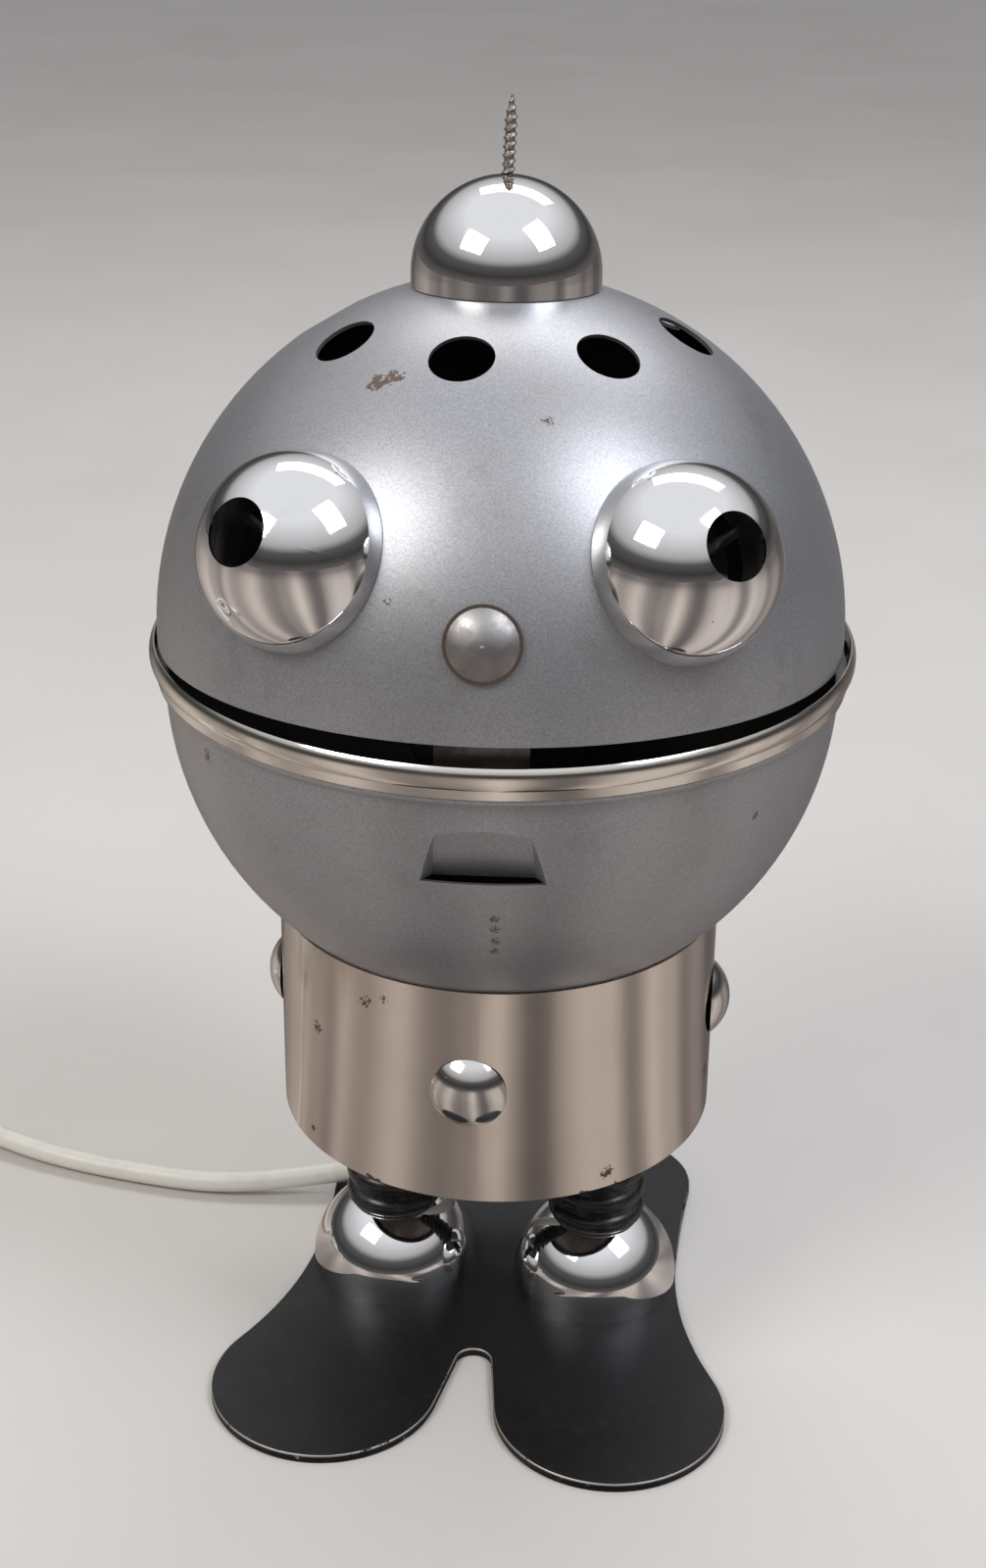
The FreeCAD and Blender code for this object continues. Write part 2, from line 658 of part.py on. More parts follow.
def crown_cap():
    rim = cap_seat()
    return moved(half_ball(CROWN_SKIRT, SCREW_R + 0.05), z=rim)


def antenna_screw():
    """A wood screw pushed up from inside the lid, its point up."""
    seat = LID_R - BALL_SHEET - 0.6
    crown = cap_seat() + CROWN_SKIRT + CAP_R
    tip = crown + SCREW_OUT
    head = SCREW_HEAD_R - SCREW_R
    return turned([(0, seat - head), (SCREW_HEAD_R, seat - head), (SCREW_HEAD_R, seat - head + 0.4),
                   (SCREW_R, seat), (SCREW_R, tip - 4.0), (0.25, tip), (0, tip)])


def screw_washer():
    seat = LID_R - BALL_SHEET - 0.02
    return turned([(SCREW_R + 0.05, seat - 0.58), (SCREW_HEAD_R + 1.6, seat - 0.58), (SCREW_HEAD_R + 1.6, seat - 0.15),
                   (SCREW_R + 0.05, seat - 0.03)])


# Lamp holder and bulb

def bowl_floor():
    """Height at which a washer lies inside the bowl."""
    return BALL_Z - on_sphere(BALL_R - BALL_SHEET, TUBE_NUT_AF / 2 + 3.0) + 0.03


def centre_tube():
    return tube(TUBE_R, TUBE_BORE, TUBE_LOW, TUBE_UP)


def tube_nuts():
    """Nuts on the centre tube: under and over the pan's floor, and under the bowl."""
    under_bowl = BALL_Z - BALL_R - WASHER_T - NUT_T
    places = (PAN_Z - WASHER_T - NUT_T, PAN_Z + PAN_WALL, under_bowl)
    return Part.makeCompound([hex_nut(TUBE_NUT_AF, TUBE_R + 0.02, z, NUT_T) for z in places])


def tube_washers():
    r = TUBE_NUT_AF / 2 + 3.0
    places = (PAN_Z - WASHER_T, BALL_Z - BALL_R - WASHER_T, bowl_floor())
    return Part.makeCompound([tube(r, TUBE_R + 0.02, z, z + WASHER_T) for z in places])


def holder_base():
    z0 = bowl_floor() + WASHER_T
    top = z0 + HOLDER_CAP_H
    wall = HOLDER_WALL
    return turned([(TUBE_R + 0.02, z0), (HOLDER_CAP_R - 2, z0), (HOLDER_CAP_R, z0 + 2), (HOLDER_CAP_R, top),
                   (HOLDER_CAP_R - wall, top), (HOLDER_CAP_R - wall, z0 + 4), (TUBE_R + 0.02, z0 + 4)])


def holder_body():
    """The insulating sleeve round the screw socket, closed by a floor for the contacts."""
    z0 = bowl_floor() + WASHER_T + HOLDER_CAP_H
    top = z0 + HOLDER_H
    bore = SOCKET_R + 0.7
    return turned([(0, z0 + 0.02), (HOLDER_R, z0 + 0.02), (HOLDER_R, top - 6), (HOLDER_R - 1.5, top - 6),
                   (HOLDER_R - 1.5, top), (bore, top), (bore, z0 + 3), (0, z0 + 3)])


def holder_socket():
    """The brass screw shell for the bulb's cap."""
    z0 = bowl_floor() + WASHER_T + HOLDER_CAP_H + 3.02
    return tube(SOCKET_R + 0.6, SOCKET_R, z0, z0 + HOLDER_H - 5)


def bulb_low():
    return bowl_floor() + WASHER_T + HOLDER_CAP_H + 4.6


def holder_contact():
    z0 = bowl_floor() + WASHER_T + HOLDER_CAP_H + 3.02
    return turned([(0, z0), (3.4, z0), (3.4, z0 + 0.5), (1.6, bulb_low() - 0.02), (0, bulb_low() - 0.02)])


def bulb_cap():
    z0 = bulb_low()
    top = z0 + BULB_CAP_H
    return turned([(0, z0), (2.4, z0), (3.2, z0 + 1.2), (BULB_CAP_R - 0.8, z0 + 3.0), (BULB_CAP_R, z0 + 4.5),
                   (BULB_CAP_R, top), (BULB_CAP_R - 0.5, top), (BULB_CAP_R - 0.5, z0 + 6), (0, z0 + 6)])


def bulb_glass():
    """A round bulb blown as one envelope with a wall and a closed foot in the cap."""
    z0 = bulb_low() + BULB_CAP_H - 3.0
    centre = z0 + BULB_UP
    envelope = []
    for inset in (0.0, 0.7):
        r = BULB_R - inset
        neck = BULB_CAP_R - 0.55 - inset
        ball = Part.makeSphere(r, V(0, 0, centre))
        stem = Part.makeCylinder(neck, BULB_UP - 4, V(0, 0, z0 + inset))
        low = 1.3 * neck
        funnel = Part.makeCone(neck, low, 9.0, V(0, 0, centre - r))
        envelope.append(ball.fuse(stem).fuse(funnel).removeSplitter())
    return solid_of(envelope[0].cut(envelope[1]))


# Cord

def rounded_path(points):
    """Straight runs joined by tangent arcs; prints the arcs' radii."""
    pts = [V(*p) for p in points]
    edges = []
    at = pts[0]
    radii = []
    for i in range(1, len(pts) - 1):
        before, here, after = pts[i - 1], pts[i], pts[i + 1]
        d0 = (here - before).normalize()
        d1 = (after - here).normalize()
        turn = math.acos(max(-1.0, min(1.0, d0.dot(d1))))
        shorter = min((here - before).Length, (after - here).Length)
        cut = 0.45 * shorter
        radius = cut / math.tan(turn / 2)
        radii.append(radius)
        start = here - d0 * cut
        end = here + d1 * cut
        inward = (d1 - d0).normalize()
        centre = here + inward * (radius / math.cos(turn / 2))
        via = centre - inward * radius
        edges.append(Part.LineSegment(at, start).toShape())
        edges.append(Part.Arc(start, via, end).toShape())
        at = end
    edges.append(Part.LineSegment(at, pts[-1]).toShape())
    print("cord radii", " ".join("%.0f" % r for r in radii), "least in diameters %.1f" % (min(radii) / CORD_D))
    return Part.Wire(edges)


def cord_tube(name, path):
    """A round tube along a path of lines and arcs, checked against its section times its length."""
    first = path.Edges[0]
    start = first.valueAt(first.FirstParameter)
    direction = first.tangentAt(first.FirstParameter)
    section = Part.Wire(Part.makeCircle(CORD_D / 2, start, direction))
    solid = path.makePipeShell([section], True, False)
    share = solid.Volume / (math.pi * CORD_D ** 2 / 4 * path.Length)
    print("%s length %.1f mm, volume share %.4f, valid %s" % (name, path.Length, share, solid.isValid()))
    return solid


def tangent_arc(start, tangent, end):
    """The arc that leaves a point along a direction and ends at another point."""
    chord = end - start
    along = tangent.dot(chord)
    normal = (chord - tangent * along)
    radius = chord.Length ** 2 / (2 * normal.Length)
    centre = start + normal.normalize() * radius
    to_mid = ((start - centre) + (end - centre)).normalize()
    return Part.Arc(start, centre + to_mid * radius, end).toShape()


def coil_path():
    """Loops piled in layers that spiral in and out at a steady rate, with a climb where the spiral reverses."""
    edges = []
    lead = CORD_D
    x = radius = COIL_MID_R + COIL_PITCH * (COIL_HALF_TURNS[0] - 1) / 4
    z = CORD_D / 2
    start = V(x, -lead, z)
    edges.append(Part.LineSegment(start, V(x, 0, z)).toShape())
    side = 1
    for layer, half_turns in enumerate(COIL_HALF_TURNS):
        inward = -1 if layer % 2 == 0 else 1
        for half_turn in range(half_turns):
            far = x - side * 2 * radius
            mid = V((x + far) / 2, side * radius, z)
            edges.append(Part.Arc(V(x, 0, z), mid, V(far, 0, z)).toShape())
            x, side = far, -side
            radius += inward * COIL_PITCH / 2
        if layer < len(COIL_HALF_TURNS) - 1:
            far = x - side * 2 * radius
            up = z + COIL_PITCH
            mid = V((x + far) / 2, side * math.hypot(radius, COIL_PITCH / 2), (z + up) / 2)
            edges.append(tangent_arc(V(x, 0, z), V(0, side, 0), mid))
            edges.append(tangent_arc(V(far, 0, up), V(0, side, 0), mid))
            x, z, side = far, up, -side
            radius -= inward * COIL_PITCH / 2
    end = V(x, side * lead, z)
    edges.append(Part.LineSegment(V(x, 0, z), end).toShape())
    return Part.Wire(edges), [start, end], side


def coil_gap(path):
    """Least clear distance between stretches of the coil that aren't neighbours, on points."""
    step = 2.0
    count = int(path.Length / step)
    pts = path.discretize(Number=count)
    apart = int(3 * CORD_D / step)
    least = 1e9
    for i in range(count):
        for j in range(i + apart, count):
            d = pts[i].distanceToPoint(pts[j])
            if d < least:
                least = d
    return least - CORD_D


def switch_frame(shape):
    """Place a shape of the switch's frame, cord along +X, at the end of the free stretch."""
    end, before = CORD_ROUTE[-1], CORD_ROUTE[-2]
    heading = math.degrees(math.atan2(end[1] - before[1], end[0] - before[0]))
    out = shape.copy()
    out.rotate(V(), Z_AXIS, heading)
    reach = SWITCH_L / 2 + SWITCH_RELIEF - CORD_GRIP
    a = math.radians(heading)
    out.translate(V(end[0] + reach * math.cos(a), end[1] + reach * math.sin(a), 0))
    return out


def switch_half(low):
    """One half of the inline switch's housing, with half of each end's relief."""
    split = SWITCH_H / 2
    z0, z1 = (0.0, split) if low else (split + 0.02, SWITCH_H)
    body = Part.makeBox(SWITCH_L, SWITCH_W, z1 - z0, V(-SWITCH_L / 2, -SWITCH_W / 2, z0))
    upright = [e for e in body.Edges if e.BoundBox.ZLength > 1]
    body = body.makeFillet(8.0, upright)
    face = z0 if low else z1
    outer = [e for e in body.Edges if abs(e.BoundBox.ZMin - face) < 1e-4 and e.BoundBox.ZLength < 1e-4]
    body = body.makeFillet(2.2, outer)
    length = SWITCH_L / 2 + SWITCH_RELIEF
    for end in (-1, 1):
        cone = Part.makeCone(CORD_D / 2 + 2.4, CORD_D / 2 + 1.0, SWITCH_RELIEF, V(end * SWITCH_L / 2, 0, split),
                             V(end, 0, 0))
        half = Part.makeBox(SWITCH_RELIEF, 20, z1 - z0, V(min(end * SWITCH_L / 2, end * length), -10, z0))
        body = body.fuse(cone.common(half))
        body = body.cut(Part.makeCylinder(CORD_D / 2 + 0.06, SWITCH_RELIEF + 11, V(end * length, 0, split),
                                          V(-end, 0, 0)))
    inner_z = 1.8 if low else z0
    pocket = Part.makeBox(SWITCH_L - 20, SWITCH_W - 8, split - 1.8, V(10 - SWITCH_L / 2, 4 - SWITCH_W / 2, inner_z))
    body = body.cut(pocket)
    if not low:
        window = (ROCKER_L + 1.8, ROCKER_W + 0.8)
        cheeks = Part.makeBox(8, window[1] + 2 * (TRUNNION_L + 0.6), 5, V(-4, -window[1] / 2 - TRUNNION_L - 0.6,
                                                                         SWITCH_H - 6))
        body = body.fuse(cheeks)
        body = body.cut(Part.makeBox(window[0], window[1], SWITCH_H, V(-window[0] / 2, -window[1] / 2, 1)))
        body = body.cut(Part.makeCylinder(TRUNNION_R + 0.05, SWITCH_W - 4, V(0, 2 - SWITCH_W / 2, rocker_pivot_z()),
                                          V(0, 1, 0)))
    return solid_of(body.removeSplitter())


def rocker_pivot_z():
    return SWITCH_H - 3.2


def switch_rocker():
    """A rocker with a dished top and side trunnions, pressed down at one end."""
    half = ROCKER_L / 2
    top = 3.6
    side = Part.Wire([
        Part.LineSegment(V(-half, 0, -1.6), V(half, 0, -1.6)).toShape(),
        Part.LineSegment(V(half, 0, -1.6), V(half, 0, top)).toShape(),
        Part.Arc(V(half, 0, top), V(0, 0, top - 1.2), V(-half, 0, top)).toShape(),
        Part.LineSegment(V(-half, 0, top), V(-half, 0, -1.6)).toShape()])
    rocker = moved(Part.Face(side).extrude(V(0, ROCKER_W, 0)), y=-ROCKER_W / 2)
    stem = Part.makeBox(5, ROCKER_W - 2, ROCKER_H, V(-2.5, 1 - ROCKER_W / 2, -ROCKER_H))
    reach = ROCKER_W / 2 + TRUNNION_L
    rocker = rocker.fuse(stem).fuse(Part.makeCylinder(TRUNNION_R, 2 * reach, V(0, -reach, 0), V(0, 1, 0)))
    rocker.rotate(V(), V(0, 1, 0), ROCKER_TILT)
    return moved(solid_of(rocker), z=rocker_pivot_z())


def lead_route(coil_start):
    """Points of the bend from the switch round to the coil, which it enters along -Y."""
    half = SWITCH_L / 2 + SWITCH_RELIEF
    level = SWITCH_H / 2
    start = switch_frame(Part.Vertex(V(half - CORD_GRIP, 0, level))).Point
    out = switch_frame(Part.Vertex(V(half + 20, 0, level))).Point
    x, y, z = coil_start
    return [tuple(start), tuple(out), (x, out.y - 18, level - 4.4), (x, y + 12, z), (x, y, z)]


def plug_frame(shape, at, heading):
    out = shape.copy()
    out.rotate(V(), Z_AXIS, heading)
    out.translate(V(*at))
    return out


def plug_body():
    """A flat moulded plug along +X: a relief sleeve, a tapering grip and a waisted face."""
    half_h = PLUG_H / 2
    sections = []
    for x, width, height in ((0, 10.0, 9.0), (8, 15.0, 11.5), (18, 21.0, 12.6), (PLUG_L, PLUG_W, PLUG_H)):
        rect = Part.makePlane(width, height, V(x, -width / 2, -height / 2), X_AXIS)
        box = Part.makeBox(1, width, height, V(x, -width / 2, -height / 2))
        corner = [e for e in box.Edges if e.BoundBox.XLength > 0.5]
        rounded = box.makeFillet(min(width, height) * 0.36, corner)
        face = min(rounded.Faces, key=lambda f: f.CenterOfMass.x)
        sections.append(face.OuterWire)
    body = Part.makeLoft(sections, True, True)
    relief = Part.makeCone(CORD_D / 2 + 1.1, CORD_D / 2 + 1.9, PLUG_RELIEF, V(-PLUG_RELIEF, 0, 0), X_AXIS)
    body = body.fuse(relief)
    body = body.cut(Part.makeCylinder(CORD_D / 2 + 0.06, PLUG_RELIEF, V(-PLUG_RELIEF, 0, 0), X_AXIS))
    return moved(solid_of(body.removeSplitter()), z=half_h)


def plug_pins():
    pins = []
    for side in (-1, 1):
        pin = Part.makeCylinder(PLUG_PIN_R, PLUG_PIN_L - PLUG_PIN_R, V(PLUG_L, side * PLUG_PIN_GAP / 2, PLUG_H / 2),
                                X_AXIS)
        tip = Part.makeSphere(PLUG_PIN_R, V(PLUG_L + PLUG_PIN_L - PLUG_PIN_R, side * PLUG_PIN_GAP / 2, PLUG_H / 2))
        pins.append(solid_of(pin.fuse(tip).removeSplitter()))
    return Part.makeCompound(pins)


def cord_bush():
    """The bush in the tube's lower end where the cord comes out."""
    low = TUBE_LOW - 3.0
    return turned([(CORD_D / 2 + 0.03, low), (BUSH_R - 1, low), (BUSH_R, low + 1), (BUSH_R, TUBE_LOW - 0.02),
                   (TUBE_BORE - 0.05, TUBE_LOW - 0.02), (TUBE_BORE - 0.05, TUBE_LOW + BUSH_H),
                   (CORD_D / 2 + 0.03, TUBE_LOW + BUSH_H)])


def make_cord():
    """The free stretch, switch, lead, coil, tail and plug; the seen stretch is placed by hand."""
    free = rounded_path(CORD_ROUTE)
    save("cord_free", cord_tube("free", free))
    save("switch_base", switch_frame(switch_half(True)))
    save("switch_cover", switch_frame(switch_half(False)))
    save("switch_rocker", switch_frame(switch_rocker()))

    path, ends, side = coil_path()
    print("coil least gap to itself %.2f mm" % coil_gap(path))
    spin = FreeCAD.Placement(V(COIL_CENTRE[0], COIL_CENTRE[1], 0), FreeCAD.Rotation(Z_AXIS, 180))
    placed = path.copy()
    placed.Placement = spin
    save("cord_coil", cord_tube("coil", placed))
    start, end = spin.multVec(ends[0]), spin.multVec(ends[1])
    lead = rounded_path(lead_route(start))
    save("cord_lead", cord_tube("lead", lead))

    x, y, z = end
    last = (x + 17.5, y - 53, PLUG_H / 2)
    entry = (last[0] + 20, last[1] - 5, PLUG_H / 2)
    tail = rounded_path([(x, y, z), (x, y - 20, z), (x + 3.0, y - 38, z - 6.5), last, entry])
    save("cord_tail", cord_tube("tail", tail))
    heading = math.degrees(math.atan2(entry[1] - last[1], entry[0] - last[0]))
    a = math.radians(heading)
    origin = (entry[0] + (PLUG_RELIEF - 10) * math.cos(a), entry[1] + (PLUG_RELIEF - 10) * math.sin(a), 0)
    save("plug_body", plug_frame(plug_body(), origin, heading))
    save("plug_pins", plug_frame(plug_pins(), origin, heading))
    total = free.Length + lead.Length + path.Length + tail.Length + SWITCH_L
    print("cord in all %.0f mm of %.0f" % (total, CORD_LENGTH))


def make_feet():
    save("base_plate", base_plate())
    for name, side in (("left", 1), ("right", -1)):
        x = side * LEG_X
        save("ankle_cap_" + name, moved(half_ball(ANKLE_SKIRT, LEG_BOLT_R + 0.2), x, 0, PLATE_T))
        save("leg_" + name, moved(leg(), x))
        save("leg_bolt_" + name, moved(bolt_shape(), x))
    floor = PAN_Z + PAN_WALL
    nut_z = floor + WASHER_T
    washers = [moved(tube(6.0, LEG_BOLT_R + 0.05, floor, nut_z), side * LEG_X) for side in (-1, 1)]
    nuts = [moved(hex_nut(8.0, LEG_BOLT_R + 0.02, nut_z, NUT_T), side * LEG_X) for side in (-1, 1)]
    save("leg_washers", Part.makeCompound(washers))
    save("leg_nuts", Part.makeCompound(nuts))


def make_body():
    save("body_sleeve", body_sleeve())
    save("body_pan", body_pan())
    for quarter, name in enumerate(("front", "left", "back", "right")):
        save("body_button_" + name, body_button(quarter))
    save("button_clips", Part.makeCompound([button_clip(quarter) for quarter in range(4)]))


def make_bowl():
    save("lower_bowl", in_head(lower_bowl()))
    save("trim_ring", in_head(trim_ring()))
    save("hinge_leaf_lower", in_head(hinge_leaf_lower()))
    save("hinge_pin", in_head(hinge_pin()))
    outer = BALL_R + 0.05 + LEAF_T
    rivets = [aimed(rivet(BALL_R - BALL_SHEET - 0.06, outer), *place) for place in bowl_rivet_places()]
    save("hinge_rivets_lower", in_head(Part.makeCompound(rivets)))


def make_light():
    save("centre_tube", centre_tube())
    save("tube_nuts", tube_nuts())
    save("tube_washers", tube_washers())
    save("holder_base", holder_base())
    save("holder_body", holder_body())
    save("holder_socket", holder_socket())
    save("holder_contact", holder_contact())
    save("bulb_cap", bulb_cap())
    save("bulb_glass", bulb_glass())
    save("cord_bush", cord_bush())


def make_lid():
    save("lid_shell", on_lid(lid_shell()))
    save("hinge_leaf_upper", opened(hinge_leaf_upper()))
    outer = LID_R + 0.05 + LEAF_T
    rivets = [aimed(rivet(LID_R - BALL_SHEET - 0.06, outer), *place) for place in lid_rivet_places()]
    save("hinge_rivets_upper", on_lid(Part.makeCompound(rivets)))
    for name, side in (("left", 1), ("right", -1)):
        save("eye_cap_" + name, on_lid(eye_cap(side)))
        save("eye_collar_" + name, on_lid(eye_collar(side)))
        save("eye_retainer_" + name, on_lid(eye_retainer(side)))
    save("nose_button", on_lid(nose_button()))
    save("nose_seat", on_lid(nose_seat()))
    save("nose_clip", on_lid(nose_clip()))
    save("latch_tongue", on_lid(latch_tongue()))
    save("crown_cap", on_lid(crown_cap()))
    save("antenna_screw", on_lid(antenna_screw()))
    save("screw_washer", on_lid(screw_washer()))


os.makedirs("parts", exist_ok=True)
make_feet()
make_body()
make_bowl()
make_light()
make_lid()
make_cord()
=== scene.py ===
"""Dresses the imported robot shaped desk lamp: materials, the threaded screw, the cord and small details."""
import math

import bmesh
import bpy
from mathutils import Matrix, Vector

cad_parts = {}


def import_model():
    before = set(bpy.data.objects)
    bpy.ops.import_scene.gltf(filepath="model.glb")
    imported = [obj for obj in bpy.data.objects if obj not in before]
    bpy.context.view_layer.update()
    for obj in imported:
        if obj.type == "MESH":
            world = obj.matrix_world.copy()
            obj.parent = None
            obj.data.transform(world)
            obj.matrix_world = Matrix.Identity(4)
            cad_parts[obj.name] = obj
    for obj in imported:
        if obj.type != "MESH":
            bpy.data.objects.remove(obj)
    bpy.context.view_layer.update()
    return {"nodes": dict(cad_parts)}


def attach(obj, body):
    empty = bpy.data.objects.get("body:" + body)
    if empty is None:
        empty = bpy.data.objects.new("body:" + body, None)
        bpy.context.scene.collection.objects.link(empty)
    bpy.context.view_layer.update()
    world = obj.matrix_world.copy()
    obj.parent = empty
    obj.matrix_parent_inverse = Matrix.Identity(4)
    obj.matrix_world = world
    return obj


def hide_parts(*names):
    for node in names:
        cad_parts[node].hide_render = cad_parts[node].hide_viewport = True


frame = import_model()

# The source's sizes, in mm and degrees

MM = 0.001
HEAD_TURN = math.radians(4.3)
BALL_Z = 163.2
BOWL_R = 74.0
LID_R = 74.8
HINGE = (0.0, 79.8, 12.0)
LID_OPEN = math.radians(4.0)
LID_CENTRE = (-0.45, 0.0, 5.5)
EYE_AZ, EYE_EL = 33.9, 23.4
SLEEVE_LOW = 55.7
CORD_D = 5.4
SCREW_SEAT, SCREW_BARE, SCREW_TIP = 72.2, 88.2, 111.0
SCREW_R, SCREW_CORE, SCREW_PITCH, SCREW_TAPER = 1.47, 1.02, 1.75, 4.6
SCREW_LEAN = math.radians(2.2)
EYE_STRAP_SEAT, EYE_STRAP_TURN = 75.15, 20.0
COIL_CENTRE, COIL_MID_R, COIL_PITCH, COIL_HALF_TURNS = (-275.0, -8.0), 30.3, 5.95, (3, 3, 3, 2)
BODY_TURN, CAMERA_YAW, CAMERA_PITCH, CAMERA_ROLL = (math.radians(v) for v in (6.9, -0.20, 24.75, 0.71))
CAMERA_BACK, CAMERA_UP, FOCAL_PER_HEIGHT, SENSOR = 488.8, 196.3, 2424 / 1600, 24.0
FLOOR_R = 9.0


# Places

def head_matrix():
    """From the bowl's frame, in mm, to the row frame, in metres."""
    return Matrix.Scale(MM, 4) @ Matrix.Rotation(HEAD_TURN, 4, "Z") @ Matrix.Translation((0, 0, BALL_Z))


def lid_matrix():
    """From the lid's own frame, in mm, to the row frame at rest, in metres."""
    hinge = Vector(HINGE)
    tilt = Matrix.Translation(hinge) @ Matrix.Rotation(-LID_OPEN, 4, "X") @ Matrix.Translation(-hinge)
    return head_matrix() @ tilt @ Matrix.Translation(LID_CENTRE)


def aim(azimuth, elevation):
    """Turns +Z to an azimuth from the front and an elevation."""
    return Matrix.Rotation(math.radians(azimuth), 4, "Z") @ Matrix.Rotation(math.radians(90 - elevation), 4, "X")


def on_ball(matrix, radius, azimuth, elevation):
    return matrix @ (aim(azimuth, elevation) @ Vector((0, 0, radius)))


# Node helpers

class Nodes:
    """A short way to write a material's node tree."""

    def __init__(self, name):
        self.mat = bpy.data.materials.new(name)
        self.mat.use_nodes = True
        self.tree = self.mat.node_tree
        self.tree.nodes.clear()
        self.out = self.tree.nodes.new("ShaderNodeOutputMaterial")
        self.shader = self.tree.nodes.new("ShaderNodeBsdfPrincipled")
        self.tree.links.new(self.shader.outputs[0], self.out.inputs[0])
        self.coords = self.tree.nodes.new("ShaderNodeTexCoord")

    def put(self, socket, value):
        if isinstance(value, bpy.types.NodeSocket):
            self.tree.links.new(value, socket)
        else:
            socket.default_value = value

    def set(self, **values):
        for key, value in values.items():
            name = key.replace("_", " ").title().replace("Ior", "IOR")
            self.put(self.shader.inputs[name], value if not isinstance(value, tuple) else (*value, 1.0)[:4])

    def place(self, scale=(1, 1, 1), move=(0, 0, 0)):
        node = self.tree.nodes.new("ShaderNodeMapping")
        self.put(node.inputs["Vector"], self.coords.outputs["Object"])
        node.inputs["Scale"].default_value = scale
        node.inputs["Location"].default_value = move
        return node.outputs[0]

    def noise(self, scale, detail=3.0, rough=0.55, at=None, distortion=0.0):
        node = self.tree.nodes.new("ShaderNodeTexNoise")
        self.put(node.inputs["Vector"], at if at is not None else self.coords.outputs["Object"])
        node.inputs["Scale"].default_value = scale
        node.inputs["Detail"].default_value = detail
        node.inputs["Roughness"].default_value = rough
        node.inputs["Distortion"].default_value = distortion
        return node.outputs["Fac"]

    def cells(self, scale, at=None):
        node = self.tree.nodes.new("ShaderNodeTexVoronoi")
        self.put(node.inputs["Vector"], at if at is not None else self.coords.outputs["Object"])
        node.inputs["Scale"].default_value = scale
        return node.outputs["Distance"]

    def ramp(self, value, low, high, to_low=0.0, to_high=1.0):
        node = self.tree.nodes.new("ShaderNodeMapRange")
        node.clamp = True
        self.put(node.inputs["Value"], value)
        for key, v in (("From Min", low), ("From Max", high), ("To Min", to_low), ("To Max", to_high)):
            node.inputs[key].default_value = v
        return node.outputs[0]

    def math(self, kind, a, b=0.0):
        node = self.tree.nodes.new("ShaderNodeMath")
        node.operation = kind
        self.put(node.inputs[0], a)
        self.put(node.inputs[1], b)
        return node.outputs[0]

    def mix(self, share, a, b):
        node = self.tree.nodes.new("ShaderNodeMix")
        node.data_type = "RGBA"
        self.put(node.inputs["Factor"], share)
        colours = [s for s in node.inputs if s.type == "RGBA"]
        for socket, value in zip(colours, (a, b)):
            self.put(socket, value if isinstance(value, bpy.types.NodeSocket) else (*value, 1.0)[:4])
        return [s for s in node.outputs if s.type == "RGBA"][0]

    def bump(self, height, strength, distance=0.0003):
        node = self.tree.nodes.new("ShaderNodeBump")
        node.inputs["Strength"].default_value = strength
        node.inputs["Distance"].default_value = distance
        self.put(node.inputs["Height"], height)
        self.put(self.shader.inputs["Normal"], node.outputs[0])

    def axis(self, which, vector=None):
        node = self.tree.nodes.new("ShaderNodeSeparateXYZ")
        self.put(node.inputs[0], vector if vector is not None else self.coords.outputs["Object"])
        return node.outputs[which]

    def inside_of(self, centre):
        """1 on faces that look towards a centre, 0 on faces that look away from it."""
        away = self.tree.nodes.new("ShaderNodeVectorMath")
        away.operation = "SUBTRACT"
        self.put(away.inputs[0], self.coords.outputs["Object"])
        away.inputs[1].default_value = centre
        dot = self.tree.nodes.new("ShaderNodeVectorMath")
        dot.operation = "DOT_PRODUCT"
        self.put(dot.inputs[0], away.outputs[0])
        self.put(dot.inputs[1], self.coords.outputs["Normal"])
        return self.math("LESS_THAN", dot.outputs["Value"], 0.0)

    def spot(self, centre, size, ragged=0.6, grain=900.0, threshold=0.5):
        """A ragged spot round a point: 1 inside, 0 outside."""
        away = self.tree.nodes.new("ShaderNodeVectorMath")
        away.operation = "DISTANCE"
        self.put(away.inputs[0], self.coords.outputs["Object"])
        away.inputs[1].default_value = centre
        near = self.ramp(away.outputs["Value"], size, size * 0.15)
        rough = self.ramp(self.noise(grain, 4.0, 0.7), 0.35, 0.65, -ragged, ragged)
        rough = self.math("MULTIPLY", rough, self.ramp(near, 0.0, 0.25))
        return self.math("GREATER_THAN", self.math("ADD", near, rough), threshold)

    def any_of(self, masks):
        total = masks[0]
        for mask in masks[1:]:
            total = self.math("MAXIMUM", total, mask)
        return total


def dress(material, *names):
    """Give CAD nodes a material in every slot."""
    for name in names:
        mesh = frame["nodes"][name].data
        mesh.materials.clear()
        mesh.materials.append(material)
        for face in mesh.polygons:
            face.material_index = 0
            face.use_smooth = True


# Materials

